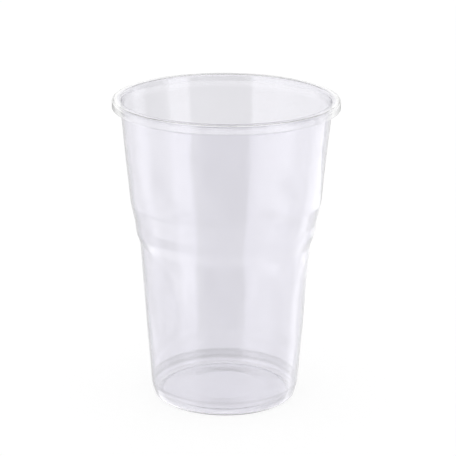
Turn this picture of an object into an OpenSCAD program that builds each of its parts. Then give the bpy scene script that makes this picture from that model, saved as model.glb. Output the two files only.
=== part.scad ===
// Clear disposable drinking tumbler, formed from one thin plastic sheet.
// Millimetres, +Z up. The origin is the middle of the foot, on the surface that the tumbler stands on.
// The sheet is drawn as one section, from the middle of the base to the free edge of the rim,
// and turned about Z. Every line of the section is the outer face; the sheet lies on its inner side.

/* [Overall] */
// Height from the surface to the top of the rim
height = 130; // [118:0.5:160]
// Outer diameter of the rim
rim_d = 95; // [93:0.5:104]
// Outer diameter of the wall just under the rim
mouth_d = 87.8; // [85:0.2:89.5]

/* [Sheet] */
// Thickness of the wall
wall_t = 0.45; // [0.3:0.05:0.7]
// Thickness of the base and the foot
base_t = 0.55; // [0.4:0.05:0.75]
// Thickness of the rim
rim_t = 0.4; // [0.3:0.05:0.75]

/* [Turned-down rim] */
// Depth of the turned-down edge, from the top of the rim
rim_drop = 3.4; // [2.8:0.1:5]
// Outer rounding of the rim
rim_round = 1; // [0.8:0.05:1.3]
// Rounding between the wall and the underside of the rim
rim_neck_round = 0.6; // [0.3:0.05:1]
// Depth of the upright band under the rim, from the top of the rim
lip_depth = 4.8; // [4.2:0.1:12]
// Rounding where that band meets the taper
lip_round = 10; // [2:0.5:14]

/* [Upper step] */
// Height of the upper edge of the upper step
shoulder_z = 85.7; // [80.5:0.1:100]
// Diameter of the wall at that edge
shoulder_d = 80.3; // [79:0.1:82]
// Rounding of that edge
shoulder_round = 12.5; // [4:0.5:25]
// Height of the lower edge of the upper step
band_top_z = 77.3; // [75.5:0.1:80]
// Diameter of the wall at that edge
band_top_d = 76.6; // [75.9:0.1:78.5]
// Rounding of that edge
band_top_round = 6.5; // [2:0.5:12]

/* [Lower step] */
// Height of the upper edge of the lower step
band_z = 72.5; // [70:0.1:74]
// Diameter of the wall at that edge
band_d = 75.6; // [74:0.1:76.3]
// Rounding of that edge
band_round = 8; // [2:0.5:10]
// Height of the lower edge of the lower step
waist_z = 68; // [60:0.1:69.5]
// Diameter of the wall at that edge
waist_d = 72.4; // [70:0.1:74]
// Rounding of that edge
waist_round = 3.5; // [1:0.5:6]

/* [Foot and base] */
// Height at which the wall turns in to the foot
heel_z = 5.1; // [4.2:0.1:12]
// Diameter of the wall at that height
heel_d = 63.2; // [62:0.1:66]
// Rounding of that turn
heel_round = 8; // [2:0.5:10]
// Diameter of the foot, measured at its sharp corner
foot_d = 60.5; // [60:0.1:62]
// Rounding of the foot's corner
foot_round = 1.6; // [1.2:0.1:1.8]
// Diameter of the hollow inside the foot, where it leaves the surface
hollow_d = 56.2; // [52:0.1:56.6]
// Slope of the hollow's side, in degrees from upright
hollow_slope = 55; // [30:1:60]
// Height of the base over the surface
hollow_rise = 1.1; // [0.8:0.1:2]
// Rounding at the foot of the hollow's side
hollow_foot_round = 0.8; // [0.76:0.02:0.9]
// Rounding at the top of the hollow's side
hollow_top_round = 2.5; // [0.5:0.1:2.9]
// Diameter of the panel in the middle of the base
panel_d = 32; // [20:0.5:36]
// Height of the panel over the rest of the base
panel_rise = 0.5; // [0.3:0.05:0.65]
// Slope of the panel's edge, in degrees from level
panel_slope = 5; // [5:1:20]
// Rounding at the top of the panel's edge
panel_top_round = 6; // [1:1:20]
// Rounding at the foot of the panel's edge
panel_foot_round = 60; // [5:5:100]

/* [Hidden] */
// Largest angle that one straight piece of a rounding turns through, in degrees
arc_step = 15;
// Facets of the turned form
$fn = 180;
// Radius as a share of its diameter, and half of an angle
half_share = 0.5;
// Most that a rounding takes of the shorter straight beside it, as a share of that straight
leg_share = 0.48;

rim_r = rim_d * half_share;
mouth_r = mouth_d * half_share;
foot_r = foot_d * half_share;
hollow_r = hollow_d * half_share;
panel_r = panel_d * half_share;
hollow_top_r = hollow_r - hollow_rise * tan(hollow_slope);
panel_foot_r = panel_r + panel_rise / tan(panel_slope);

// Stations of the section: radius, height, rounding of the outer face, thickness of the sheet there.
stations = [
    // Middle of the base, its panel and the panel's edge
    [0, hollow_rise + panel_rise, 0, base_t],
    [panel_r, hollow_rise + panel_rise, panel_top_round, base_t],
    [panel_foot_r, hollow_rise, panel_foot_round, base_t],
    // Hollow, foot and heel
    [hollow_top_r, hollow_rise, hollow_top_round, base_t],
    [hollow_r, 0, hollow_foot_round, base_t],
    [foot_r, 0, foot_round, base_t],
    [heel_d * half_share, heel_z, heel_round, wall_t],
    // Wall with its two steps
    [waist_d * half_share, waist_z, waist_round, wall_t],
    [band_d * half_share, band_z, band_round, wall_t],
    [band_top_d * half_share, band_top_z, band_top_round, wall_t],
    [shoulder_d * half_share, shoulder_z, shoulder_round, wall_t],
    [mouth_r, height - lip_depth, lip_round, wall_t],
    // Rim: up, out and down to the free edge
    [mouth_r, height - rim_t, rim_neck_round, rim_t],
    [rim_r - rim_t, height - rim_t, rim_round - rim_t, rim_t],
    [rim_r - rim_t, height - rim_drop, 0, rim_t]
];

function point_of(station) = [station[0], station[1]];
function along(a, b) = (b - a) / norm(b - a);
// Unit vector to the left of a direction, where the sheet lies
function left_of(dir) = [-dir[1], dir[0]];
// Angle from one direction to the next, positive to the left
function turn(a, b) = atan2(a[0] * b[1] - a[1] * b[0], a * b);

// One face of the sheet at station i: 'depth_share' 0 is the outer face and 1 the inner one.
function face_points(i, depth_share) =
    let (
        s = stations[i],
        p = point_of(s),
        last = len(stations) - 1,
        dir_in = i > 0 ? along(point_of(stations[i - 1]), p) : [1, 0],
        dir_out = i < last ? along(p, point_of(stations[i + 1])) : dir_in,
        bend = i > 0 && i < last ? turn(dir_in, dir_out) : 0,
        side = sign(bend),
        slope = abs(tan(bend * half_share)),
        leg = bend == 0 ? 0 : min(norm(p - point_of(stations[i - 1])), norm(point_of(stations[i + 1]) - p)),
        rounding = bend == 0 ? 0 : min(s[2], leg * leg_share / slope),
        centre = p - dir_in * rounding * slope + left_of(dir_in) * side * rounding,
        count = max(2, ceil(abs(bend) / arc_step))
    )
    bend == 0
    ? [p + left_of(dir_in) * s[3] * depth_share]
    : [
        for (k = [0 : count])
            let (
                a = bend * k / count,
                n = left_of([
                    dir_in[0] * cos(a) - dir_in[1] * sin(a),
                    dir_in[0] * sin(a) + dir_in[1] * cos(a)
                ])
            )
            centre - n * side * rounding + n * s[3] * depth_share
    ];

function face(depth_share) = [for (i = [0 : len(stations) - 1]) each face_points(i, depth_share)];
function reversed(list) = [for (i = [len(list) - 1 : -1 : 0]) list[i]];

module section() {
    polygon(concat(face(0), reversed(face(1))));
}

module cup() {
    color([0.86, 0.87, 0.90, 0.5])
        rotate_extrude()
            section();
}

cup();
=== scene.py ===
"""Clear disposable tumbler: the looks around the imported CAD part. Metres, +Z up, camera on the -Y side."""
import math

import bpy
import numpy as np
from mathutils import Matrix, Vector


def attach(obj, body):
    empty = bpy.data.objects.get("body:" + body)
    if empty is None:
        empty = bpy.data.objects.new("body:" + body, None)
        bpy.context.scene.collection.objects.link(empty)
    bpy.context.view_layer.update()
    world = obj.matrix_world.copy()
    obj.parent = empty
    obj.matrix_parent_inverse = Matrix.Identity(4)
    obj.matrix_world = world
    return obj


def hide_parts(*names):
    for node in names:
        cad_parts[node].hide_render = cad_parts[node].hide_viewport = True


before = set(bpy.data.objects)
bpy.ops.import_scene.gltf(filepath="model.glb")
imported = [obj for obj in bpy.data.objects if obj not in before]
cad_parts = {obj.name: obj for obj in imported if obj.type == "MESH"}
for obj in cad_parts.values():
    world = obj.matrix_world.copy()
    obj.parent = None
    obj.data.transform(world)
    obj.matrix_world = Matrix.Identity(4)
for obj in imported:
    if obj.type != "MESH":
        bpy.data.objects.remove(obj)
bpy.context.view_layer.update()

MM = 0.001

# Section of the sheet, as in the part's source (mm). Edges of the wall are radius, height and rounding
HEIGHT, RIM_D, MOUTH_D = 130.0, 95.0, 87.8
WALL_T, BASE_T, RIM_T = 0.45, 0.55, 0.4
RIM_DROP, RIM_ROUND, RIM_NECK_ROUND = 3.4, 1.0, 0.6
LIP_DEPTH, LIP_ROUND = 4.8, 10.0
SHOULDER = (80.3 / 2, 85.7, 12.5)
BAND_TOP = (76.6 / 2, 77.3, 6.5)
BAND = (75.6 / 2, 72.5, 8.0)
WAIST = (72.4 / 2, 68.0, 3.5)
HEEL = (63.2 / 2, 5.1, 8.0)
FOOT_D, FOOT_ROUND = 60.5, 1.6
HOLLOW_D, HOLLOW_SLOPE, HOLLOW_RISE = 56.2, 55.0, 1.1
HOLLOW_FOOT_ROUND, HOLLOW_TOP_ROUND = 0.8, 2.5
PANEL_D, PANEL_RISE, PANEL_SLOPE = 32.0, 0.5, 5.0
PANEL_TOP_ROUND, PANEL_FOOT_ROUND = 6.0, 60.0
LEG_SHARE = 0.48
ARC_STEP = 6.0          # degrees, most that one straight piece of a rounding turns through
ARC_PIECES = 3          # fewest straight pieces of a rounding
RING_GAP = 4.0          # mm, longest straight piece along the section
SEGMENTS = 360          # pieces round the axis
EDGE_ANGLES = (22.5, 45, 90, 135, 157.5)    # degrees, points of the rounded free edge
# Slight waves of the formed wall: height in mm, waves round the axis, waves up the cup, phase in radians
WAVES = [(0.06, 5, 2.0, 0.3), (0.04, 9, -3.0, 1.7), (0.025, 14, 5.0, 0.9)]
# Heights in mm between which the wall has these waves, and the length over which they fade in
WAVES_FROM, WAVES_TO, WAVES_FADE = 8.0, 121.0, 10.0
SLOPE_STEP = 0.01       # mm and radians, half of the step that the waves' slopes are taken over

RIM_R, MOUTH_R, FOOT_R, HOLLOW_R, PANEL_R = (d / 2 for d in (RIM_D, MOUTH_D, FOOT_D, HOLLOW_D, PANEL_D))
hollow_top_r = HOLLOW_R - HOLLOW_RISE * math.tan(math.radians(HOLLOW_SLOPE))
panel_foot_r = PANEL_R + PANEL_RISE / math.tan(math.radians(PANEL_SLOPE))
base_z = HOLLOW_RISE + PANEL_RISE

# radius, height, rounding of the outer face, thickness of the sheet
STATIONS = [
    (0, base_z, 0, BASE_T),
    (PANEL_R, base_z, PANEL_TOP_ROUND, BASE_T),
    (panel_foot_r, HOLLOW_RISE, PANEL_FOOT_ROUND, BASE_T),
    (hollow_top_r, HOLLOW_RISE, HOLLOW_TOP_ROUND, BASE_T),
    (HOLLOW_R, 0, HOLLOW_FOOT_ROUND, BASE_T),
    (FOOT_R, 0, FOOT_ROUND, BASE_T),
    (*HEEL, WALL_T),
    (*WAIST, WALL_T),
    (*BAND, WALL_T),
    (*BAND_TOP, WALL_T),
    (*SHOULDER, WALL_T),
    (MOUTH_R, HEIGHT - LIP_DEPTH, LIP_ROUND, WALL_T),
    (MOUTH_R, HEIGHT - RIM_T, RIM_NECK_ROUND, RIM_T),
    (RIM_R - RIM_T, HEIGHT - RIM_T, RIM_ROUND - RIM_T, RIM_T),
    (RIM_R - RIM_T, HEIGHT - RIM_DROP, 0, RIM_T),
]


def unit(v):
    return v / np.hypot(*v)


def left_of(v):
    return np.array([-v[1], v[0]])


def sheet_section():
    """Outer and inner points of the sheet, with the inner face's normals, as in the part's source."""
    outer, inner, normals = [], [], []
    last = len(STATIONS) - 1
    points = [np.array(s[:2], float) for s in STATIONS]

    def add(point, normal, thickness):
        outer.append(point)
        inner.append(point + normal * thickness)
        normals.append(normal)

    for i, (p, s) in enumerate(zip(points, STATIONS)):
        d_in = unit(p - points[i - 1]) if i else np.array([1.0, 0.0])
        if i in (0, last):
            add(p, left_of(d_in), s[3])
            continue
        d_out = unit(points[i + 1] - p)
        bend = math.atan2(d_in[0] * d_out[1] - d_in[1] * d_out[0], float(d_in @ d_out))
        side = math.copysign(1, bend)
        slope = abs(math.tan(bend / 2))
        leg = min(np.hypot(*(p - points[i - 1])), np.hypot(*(points[i + 1] - p)))
        rounding = min(s[2], leg * LEG_SHARE / slope)
        centre = p - d_in * rounding * slope + left_of(d_in) * side * rounding
        count = max(ARC_PIECES, math.ceil(abs(math.degrees(bend)) / ARC_STEP))
        for a in np.linspace(0, bend, count + 1):
            n = left_of(np.array([d_in[0] * math.cos(a) - d_in[1] * math.sin(a),
                                  d_in[0] * math.sin(a) + d_in[1] * math.cos(a)]))
            add(centre - n * side * rounding, n, s[3])
    return np.array(outer), np.array(inner), np.array(normals)


def filled(*rows):
    """Splits long straight pieces of the section, in all rows alike, to carry the wall's waves."""
    out = [[row[0]] for row in rows]
    for i in range(len(rows[0]) - 1):
        parts = max(1, math.ceil(np.hypot(*(rows[0][i + 1] - rows[0][i])) / RING_GAP))
        for k in range(1, parts + 1):
            for row, filled_row in zip(rows, out):
                filled_row.append(row[i] + (row[i + 1] - row[i]) * k / parts)
    return [np.array(row) for row in out]


def free_edge(outer, inner):
    """Points and normals of the rounded free edge, from the outer face's end to the inner face's."""
    mid = (outer[-1] + inner[-1]) / 2
    half = (outer[-1] - inner[-1]) / 2
    out = unit(outer[-1] - outer[-2]) * np.hypot(*half)
    angles = np.radians(EDGE_ANGLES)
    points = [mid + half * math.cos(a) + out * math.sin(a) for a in angles]
    normals = [unit(half * math.cos(a) + out * math.sin(a)) for a in angles]
    return points, normals


def wave(turn, z):
    """Outward shift of the wall, in mm."""
    fade = np.clip(np.minimum(z - WAVES_FROM, WAVES_TO - z) / WAVES_FADE, 0, 1)
    shift = sum(a * np.sin(n * turn + 2 * math.pi * k * z / HEIGHT + p) for a, n, k, p in WAVES)
    return shift * fade * fade * (3 - 2 * fade)


def turned(rings, facing, turn):
    """Points and normals of the section's rings turned about the axis, with the wall's waves."""
    r, z = rings[:, :1], rings[:, 1:]
    shift = wave(turn, z)
    round_slope = (wave(turn + SLOPE_STEP, z) - wave(turn - SLOPE_STEP, z)) / (2 * SLOPE_STEP) / r
    rise_slope = (wave(turn, z + SLOPE_STEP) - wave(turn, z - SLOPE_STEP)) / (2 * SLOPE_STEP)
    out = facing[:, :1] + 0 * turn
    along = -facing[:, :1] * round_slope
    up = facing[:, 1:] - facing[:, :1] * rise_slope
    c, s = np.cos(turn), np.sin(turn)
    points = np.stack([(r + shift) * c, (r + shift) * s, z + 0 * turn], axis=-1)
    normals = np.stack([out * c - along * s, out * s + along * c, up], axis=-1)
    return points.reshape(-1, 3), normals.reshape(-1, 3)


def make_cup():
    """The sheet as one smooth mesh, turned about the axis, with normals of its own."""
    outer, inner, normals = filled(*sheet_section())
    edge, edge_normals = free_edge(outer, inner)
    loop = np.array([*outer, *edge, *inner[::-1]])
    facing = np.array([*-normals, *edge_normals, *normals[::-1]])
    # Both ends of the loop lie on the axis, so they are single points and the rest become rings
    rings = loop[1:-1]
    turn = np.linspace(0, 2 * math.pi, SEGMENTS, endpoint=False)

    points, point_normals = turned(rings, facing[1:-1], turn)
    verts = np.vstack([points, [[0, 0, loop[0][1]], [0, 0, loop[-1][1]]]]) * MM
    vert_normals = np.vstack([point_normals, [[0, 0, -1], [0, 0, 1]]])
    count = len(rings)
    under = count * SEGMENTS
    over = under + 1
    j = np.arange(SEGMENTS)
    k = (j + 1) % SEGMENTS
    faces = []
    for i in range(count - 1):
        a, b = i * SEGMENTS, (i + 1) * SEGMENTS
        faces += np.stack([a + j, a + k, b + k, b + j], 1).tolist()
    faces += np.stack([np.full(SEGMENTS, under), k, j], 1).tolist()
    top = (count - 1) * SEGMENTS
    faces += np.stack([np.full(SEGMENTS, over), top + j, top + k], 1).tolist()
    mesh = bpy.data.meshes.new("tumbler_sheet")
    mesh.from_pydata(verts.tolist(), [], faces)
    mesh.update()
    mesh.shade_smooth()
    mesh.normals_split_custom_set_from_vertices(vert_normals.tolist())
    obj = bpy.data.objects.new("tumbler_sheet", mesh)
    bpy.context.scene.collection.objects.link(obj)
    return obj


# Node helpers
# Sockets of a Mix node that mixes colours
MIX_SHARE, MIX_A, MIX_B, MIX_RESULT = 0, 6, 7, 2


class Tree:
    """Short calls for a node tree."""

    def __init__(self, tree):
        self.tree = tree
        tree.nodes.clear()

    def node(self, kind, **settings):
        n = self.tree.nodes.new(kind)
        for name, value in settings.items():
            setattr(n, name, value)
        return n

    def link(self, a, b):
        self.tree.links.new(a, b)

    def math(self, operation, a, b=0.0):
        n = self.node("ShaderNodeMath", operation=operation)
        for socket, value in zip(n.inputs, (a, b)):
            if isinstance(value, (int, float)):
                socket.default_value = value
            else:
                self.link(value, socket)
        return n.outputs[0]

    def ramp(self, factor, stops):
        """Grey level by a factor from 0 to 1, straight between the stops."""
        n = self.node("ShaderNodeValToRGB")
        elements = n.color_ramp.elements
        for _ in range(len(stops) - len(elements)):
            elements.new(1.0)
        for e, (place, _) in zip(elements, stops):
            e.position = place
        for e, (_, grey) in zip(elements, stops):
            e.color = (grey, grey, grey, 1)
        self.link(factor, n.inputs[0])
        return n.outputs[0]


def level(t, value, edges):
    """0 below the first edge and 1 above the second, in degrees."""
    n = t.node("ShaderNodeMapRange", clamp=True)
    t.link(value, n.inputs["Value"])
    n.inputs["From Min"].default_value = math.radians(edges[0])
    n.inputs["From Max"].default_value = math.radians(edges[1])
    return n.outputs[0]


def within(t, value, low, top):
    """1 between two pairs of edges, in degrees, and 0 outside them."""
    return t.math("SUBTRACT", level(t, value, low), level(t, value, top))


def moved(t, elevation, share, degrees):
    """Elevation moved by a share of so many degrees."""
    return t.math("ADD", elevation, t.math("MULTIPLY", share, math.radians(degrees)))


def blend(t, share, a, b):
    """From a to b, each a grey level or an output."""
    n = t.node("ShaderNodeMix", data_type="RGBA")
    t.link(share, n.inputs[MIX_SHARE])
    for place, value in ((MIX_A, a), (MIX_B, b)):
        if isinstance(value, float):
            n.inputs[place].default_value = (value, value, value, 1)
        else:
            t.link(value, n.inputs[place])
    return n.outputs[MIX_RESULT]


# Material
# Share of light that one pass through the sheet keeps, by height in mm: plain absorption in the wall, and
# painted shade in darker bands at the foot and heel. The heel keeps less on its +Y half, where it looks
# darker, as painted shade, though the solid is as thick there
FOOT_TINT_AND_SHADE = [(0, 1.0), (0.2, 1.0), (0.4, 0.74), (1.2, 0.76), (1.5, 0.85), (2.3, 0.85)]
HEEL_SHADE_NEAR = [(2.9, 0.78), (3.6, 0.75), (4.2, 0.79), (5.6, 0.79), (6.2, 0.74)]
HEEL_SHADE_FAR = [(2.9, 0.66), (3.6, 0.56), (4.2, 0.68), (5.6, 0.68), (6.2, 0.56)]
WALL_TINT = [(7.0, 0.813), (124, 0.813), (125.5, 0.85), (130, 0.85)]
# The same share in the base, inside a radius in mm, and in the rim's skirt, outside one
BASE_KEEPS, BASE_EDGE = 0.82, 26.8
SKIRT_KEEPS, SKIRT_EDGE = 0.965, 45.4
# Faint lavender of the sheet, apart from the skirt
TINT = (1.0, 0.9925, 1.039)
IOR = 1.49
# Range of the noise that is spread over each range below
NOISE_SPAN = (0.3, 0.7)
# Cloudiness of the sheet: noise scale per metre and the range that the tint is multiplied by
CLOUD_SCALE, CLOUD = 30.0, (0.985, 1.015)
# Gloss: noise scale per metre and the roughness's range
GLOSS_SCALE, GLOSS = 110.0, (0.04, 0.08)
# Fine unevenness of the surface: noise scale per metre, height in metres and strength
PEEL_SCALE, PEEL_HEIGHT, PEEL = 320.0, 0.0001, 0.08


def clear_plastic():
    mat = bpy.data.materials.new("clear_plastic")
    mat.use_nodes = True
    t = Tree(mat.node_tree)
    out = t.node("ShaderNodeOutputMaterial")
    p = t.node("ShaderNodeBsdfPrincipled")
    place = t.node("ShaderNodeSeparateXYZ")
    spot = t.node("ShaderNodeTexCoord").outputs["Object"]
    t.link(spot, place.inputs[0])

    def noise(scale, span=(0.0, 1.0)):
        n = t.node("ShaderNodeTexNoise")
        n.inputs["Scale"].default_value = scale
        t.link(spot, n.inputs["Vector"])
        fit = t.node("ShaderNodeMapRange", clamp=True)
        t.link(n.outputs[0], fit.inputs["Value"])
        fit.inputs["From Min"].default_value = NOISE_SPAN[0]
        fit.inputs["From Max"].default_value = NOISE_SPAN[1]
        fit.inputs["To Min"].default_value = span[0]
        fit.inputs["To Max"].default_value = span[1]
        return fit.outputs[0]

    height = t.math("DIVIDE", place.outputs[2], HEIGHT * MM)
    # Painted shade: the foot and heel bands are darker than the wall, and the heel's bands darker still on
    # its +Y half
    near, far = (t.ramp(height, [(z / HEIGHT, keep) for z, keep in FOOT_TINT_AND_SHADE + heel + WALL_TINT])
                 for heel in (HEEL_SHADE_NEAR, HEEL_SHADE_FAR))
    # 0 at the heel's -Y end and 1 at its +Y end, the share of the darker painted shade
    far_shade_share = t.math("ADD", t.math("DIVIDE", place.outputs[1], 2 * HEEL[0] * MM), 0.5)
    sheet = blend(t, far_shade_share, near, far)
    x_squared, y_squared = (t.math("POWER", place.outputs[i], 2.0) for i in (0, 1))
    radius = t.math("SQRT", t.math("ADD", x_squared, y_squared))
    keeps = blend(t, t.math("LESS_THAN", radius, BASE_EDGE * MM), sheet, BASE_KEEPS)
    skirt = t.math("GREATER_THAN", radius, SKIRT_EDGE * MM)
    keeps = blend(t, skirt, keeps, SKIRT_KEEPS)
    tinted = t.node("ShaderNodeMix", data_type="RGBA", blend_type="MULTIPLY")
    t.link(t.math("SUBTRACT", 1.0, skirt), tinted.inputs[MIX_SHARE])
    t.link(t.math("MULTIPLY", keeps, noise(CLOUD_SCALE, CLOUD)), tinted.inputs[MIX_A])
    tinted.inputs[MIX_B].default_value = (*TINT, 1)
    t.link(tinted.outputs[MIX_RESULT], p.inputs["Base Color"])
    p.inputs["Transmission Weight"].default_value = 1.0
    p.inputs["IOR"].default_value = IOR
    t.link(noise(GLOSS_SCALE, GLOSS), p.inputs["Roughness"])
    peel = t.node("ShaderNodeBump")
    peel.inputs["Strength"].default_value = PEEL
    peel.inputs["Distance"].default_value = PEEL_HEIGHT
    t.link(noise(PEEL_SCALE), peel.inputs["Height"])
    t.link(peel.outputs[0], p.inputs["Normal"])
    t.link(p.outputs[0], out.inputs["Surface"])
    return mat


# Studio
# Levels are the brightness of what the cup mirrors, where 1 is white. They were set against
# the photo, for its view. LEVEL_TOP is the highest that the ramps can hold.
# Azimuths are in degrees from the camera's side, positive to the right, and elevations in degrees.
LEVEL_TOP = 4.0
# Level by azimuth above the table: the dark room behind the camera, the lamps beside it, the pale backdrop
ABOVE = [
    (-180, 0.8), (-170, 0.8), (-155, 1.0), (-130, 1.3), (-85, 1.95), (-35, 2.05), (-30, 2.05), (-27, 0.05),
    (41, 0.05), (44, 2.0), (66, 2.0), (73, 0.3), (100, 0.3), (108, 1.45), (126, 1.4), (136, 0.95),
    (150, 1.15), (158, 1.1), (170, 0.8), (180, 0.8),
]
# Level by azimuth on the table: in its far strip, which the upright rim mirrors
TABLE_STRIP = [
    (-180, 0.55), (-132, 0.45), (-115, 1.3), (-60, 2.4), (60, 2.4), (80, 2.0), (104, 2.0), (122, 1.6),
    (140, 0.7), (180, 0.6),
]
# Further from the cup
TABLE_FAR = [
    (-180, 0.95), (-160, 0.92), (-150, 0.95), (-130, 1.45), (-108, 2.35), (-70, 3.3), (-45, 3.2),
    (-22, 1.7), (22, 1.75), (40, 2.85), (74, 3.2), (88, 2.3), (108, 1.85), (115, 2.1), (136, 2.0),
    (146, 1.8), (156, 1.35), (180, 1.1),
]
# Close to the cup
TABLE_NEAR = [
    (-180, 0.95), (-165, 0.9), (-150, 0.9), (-130, 1.3), (-100, 1.85), (-65, 2.5), (-45, 2.4), (-22, 2.05),
    (22, 2.1), (45, 2.3), (62, 2.3), (80, 2.0), (108, 1.85), (115, 2.1), (126, 2.1), (134, 1.35),
    (150, 1.1), (160, 1.0), (180, 1.0),
]
# At its foot
TABLE_FOOT = [
    (-180, 0.9), (-135, 1.9), (-113, 2.15), (-79, 3.0), (-63, 2.9), (-34, 2.3), (0, 2.1), (43, 2.3),
    (63, 2.5), (96, 1.8), (117, 1.55), (132, 1.85), (150, 1.1), (180, 0.95),
]
# Elevations between these parts in front, how far they move at the sides, and the azimuths of that move
TABLE_EDGE, EDGE_DROP, EDGE_SIDES = (-14.1, -13.7), 4.5, (95, 145)
CLOSE_FROM, CLOSE_RISE, CLOSE_SIDES = (-28.3, -27.6), 7.5, (40, 150)
FOOT_FROM, STRIP_FROM = (-31.5, -30.0), (-15.6, -15.2)
# Behind the cup, left and right, the strip lies on its own between two parts of the room
STRIP_ENDS, STRIP_LOW, STRIP_TOP = (115, 130), (-14.7, -14.5), (-13.3, -13.1)
# Between the strip and the far part the table is dim
DIM, DIM_FROM = 0.85, (-23.9, -23.3)
# Right under the cup it is dim too, and that part reaches higher at the sides and behind
UNDER, UNDER_FROM = 0.85, (-64.0, -60.5)
UNDER_RISE, UNDER_SIDES = 11.0, (70, 130)
# Elevations over which the part above the table gives way to the sky, and azimuths between its two halves
SKY_FROM, SKY_SIDES = (0.0, 6.0), (80, 110)
# Level by elevation in front, from so high on, and behind
SKY_FRONT, SKY_FRONT_FROM = [(0, 0.05), (55, 0.05), (62, 2.0), (90, 2.0)], (23.5, 26.5)
SKY_BACK = [
    (0, 1.2), (8, 1.2), (10, 0.35), (13.2, 0.35), (14, 0.6), (16, 0.6), (18, 1.25), (26, 1.25),
    (28, 0.6), (40, 0.6), (55, 1.0), (62, 2.0), (90, 2.0),
]
# Over the left lamp, in two narrow panels beside the middle of the backdrop, and in a small lamp overhead
SKY_LEFT, SKY_LEFT_FROM, SKY_LEFT_SIDES = 1.1, (8.0, 12.0), (42, 56)
SKY_ASIDE, SKY_ASIDE_FROM, SKY_ASIDE_TO = 1.15, (171.5, 174.0), (177.0, 178.6)
LAMP, LAMP_FROM = 3.0, (81.0, 84.0)
# What is seen directly or through the sheet is white, and only a mirrored ray meets the studio
WHITE = 1.0
MIRRORED_DEPTH = 0.5


def make_world():
    world = bpy.data.worlds.new("studio")
    bpy.context.scene.world = world
    world.use_nodes = True
    t = Tree(world.node_tree)
    out = t.node("ShaderNodeOutputWorld")
    bg = t.node("ShaderNodeBackground")
    t.link(bg.outputs[0], out.inputs[0])
    direction = t.node("ShaderNodeSeparateXYZ")
    t.link(t.node("ShaderNodeTexCoord").outputs["Generated"], direction.inputs[0])
    azimuth = t.math("ARCTAN2", direction.outputs[0], t.math("MULTIPLY", direction.outputs[1], -1.0))
    elevation = t.math("ARCSINE", direction.outputs[2])
    round_share = t.math("ADD", t.math("DIVIDE", azimuth, 2 * math.pi), 0.5)
    height_share = t.math("DIVIDE", elevation, math.pi / 2)
    aside = t.math("ABSOLUTE", azimuth)
    leftward = t.math("MULTIPLY", azimuth, -1.0)

    def by_azimuth(stops):
        return t.ramp(round_share, [((a + 180) / 360, v / LEVEL_TOP) for a, v in stops])

    def by_elevation(stops):
        return t.ramp(height_share, [(e / 90, v / LEVEL_TOP) for e, v in stops])

    above = by_azimuth(ABOVE)
    strip = by_azimuth(TABLE_STRIP)

    # Over the horizon
    beside = within(t, aside, SKY_ASIDE_FROM, SKY_ASIDE_TO)
    behind = blend(t, beside, by_elevation(SKY_BACK), SKY_ASIDE / LEVEL_TOP)
    over_lamp = t.math("MULTIPLY", level(t, leftward, SKY_LEFT_SIDES), level(t, elevation, SKY_LEFT_FROM))
    front = blend(t, over_lamp, above, SKY_LEFT / LEVEL_TOP)
    front = blend(t, level(t, elevation, SKY_FRONT_FROM), front, by_elevation(SKY_FRONT))
    sky = blend(t, level(t, aside, SKY_SIDES), front, behind)
    sky = blend(t, level(t, elevation, LAMP_FROM), sky, LAMP / LEVEL_TOP)
    over = blend(t, level(t, elevation, SKY_FROM), above, sky)

    # On the table
    raised = moved(t, elevation, level(t, aside, EDGE_SIDES), EDGE_DROP)
    lowered = moved(t, elevation, level(t, aside, CLOSE_SIDES), -CLOSE_RISE)
    sunk = moved(t, elevation, level(t, aside, UNDER_SIDES), -UNDER_RISE)
    table = blend(t, level(t, lowered, CLOSE_FROM), by_azimuth(TABLE_NEAR), by_azimuth(TABLE_FAR))
    table = blend(t, level(t, elevation, FOOT_FROM), by_azimuth(TABLE_FOOT), table)
    table = blend(t, level(t, sunk, UNDER_FROM), UNDER / LEVEL_TOP, table)
    table = blend(t, level(t, lowered, DIM_FROM), table, DIM / LEVEL_TOP)
    table = blend(t, level(t, elevation, STRIP_FROM), table, strip)

    mirrored = blend(t, level(t, raised, TABLE_EDGE), table, over)
    strip_end = t.math("MULTIPLY", within(t, elevation, STRIP_LOW, STRIP_TOP), level(t, aside, STRIP_ENDS))
    mirrored = blend(t, strip_end, mirrored, strip)
    path = t.node("ShaderNodeLightPath")
    reflected = t.math("GREATER_THAN", path.outputs["Glossy Depth"], MIRRORED_DEPTH)
    t.link(blend(t, reflected, WHITE / LEVEL_TOP, mirrored), bg.inputs["Color"])
    bg.inputs["Strength"].default_value = LEVEL_TOP


# Floor
FLOOR_HALF = 3.0        # metres, half of its side
FLOOR_DROP = 0.0002     # metres below the foot, so that the two faces don't touch
FLOOR_LIT = 0.15        # share of light that it scatters, which carries the shadow
FLOOR_LIFT = 0.87       # light of its own, which keeps it white


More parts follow.
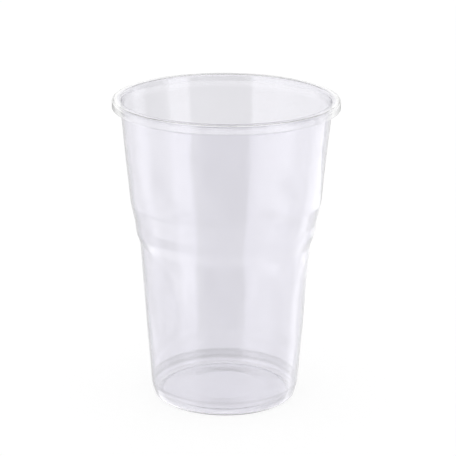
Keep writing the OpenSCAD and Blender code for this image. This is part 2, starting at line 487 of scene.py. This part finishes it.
def make_floor():
    mesh = bpy.data.meshes.new("floor")
    corners = [(-1, -1), (1, -1), (1, 1), (-1, 1)]
    mesh.from_pydata([(x * FLOOR_HALF, y * FLOOR_HALF, 0) for x, y in corners], [], [(0, 1, 2, 3)])
    floor = bpy.data.objects.new("floor", mesh)
    bpy.context.scene.collection.objects.link(floor)
    floor.location.z = -FLOOR_DROP
    mat = bpy.data.materials.new("floor")
    mat.use_nodes = True
    t = Tree(mat.node_tree)
    out = t.node("ShaderNodeOutputMaterial")
    path = t.node("ShaderNodeLightPath")
    diffuse = t.node("ShaderNodeBsdfDiffuse")
    diffuse.inputs["Color"].default_value = (FLOOR_LIT, FLOOR_LIT, FLOOR_LIT, 1)
    lift = t.node("ShaderNodeEmission")
    seen = t.math("MAXIMUM", path.outputs["Is Camera Ray"], path.outputs["Is Transmission Ray"])
    t.link(t.math("MULTIPLY", seen, FLOOR_LIFT), lift.inputs["Strength"])
    both = t.node("ShaderNodeAddShader")
    t.link(diffuse.outputs[0], both.inputs[0])
    t.link(lift.outputs[0], both.inputs[1])
    clear = t.node("ShaderNodeBsdfTransparent")
    mix = t.node("ShaderNodeMixShader")
    t.link(t.math("GREATER_THAN", path.outputs["Glossy Depth"], MIRRORED_DEPTH), mix.inputs[0])
    t.link(both.outputs[0], mix.inputs[1])
    t.link(clear.outputs[0], mix.inputs[2])
    t.link(mix.outputs[0], out.inputs["Surface"])
    mesh.materials.append(mat)


# Camera
CAM_ELEVATION = 17.5    # degrees over level
CAM_DISTANCE = 0.7932   # metres to the point that it aims at
CAM_AIM_Z = 0.07337     # metres, height of that point
CAM_SIDE = 0.00102      # metres, shift of that point to the right
CAM_LENS = 147.7        # mm
CAM_SENSOR = 36.0       # mm
CAM_ROLL = 0.4          # degrees


def make_camera():
    data = bpy.data.cameras.new("camera")
    data.lens = CAM_LENS
    data.sensor_width = CAM_SENSOR
    cam = bpy.data.objects.new("camera", data)
    bpy.context.scene.collection.objects.link(cam)
    e = math.radians(CAM_ELEVATION)
    aim = Vector((CAM_SIDE, 0, CAM_AIM_Z))
    cam.location = aim + Vector((0, -math.cos(e), math.sin(e))) * CAM_DISTANCE
    look = (aim - cam.location).to_track_quat("-Z", "Y").to_matrix().to_4x4()
    roll = Matrix.Rotation(math.radians(CAM_ROLL), 4, "Z")
    cam.matrix_world = Matrix.Translation(cam.location) @ look @ roll
    bpy.context.scene.camera = cam


bpy.context.scene.view_settings.view_transform = "Standard"
# Light runs a long way inside the thin sheet before it comes out at an edge
cycles = bpy.context.scene.cycles
cycles.max_bounces = 24
cycles.glossy_bounces = 8
cycles.transmission_bounces = 20
make_world()
make_floor()
make_camera()

cup = make_cup()
cup.data.materials.append(clear_plastic())
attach(cup, "root")
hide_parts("cup")

bpy.context.view_layer.update()
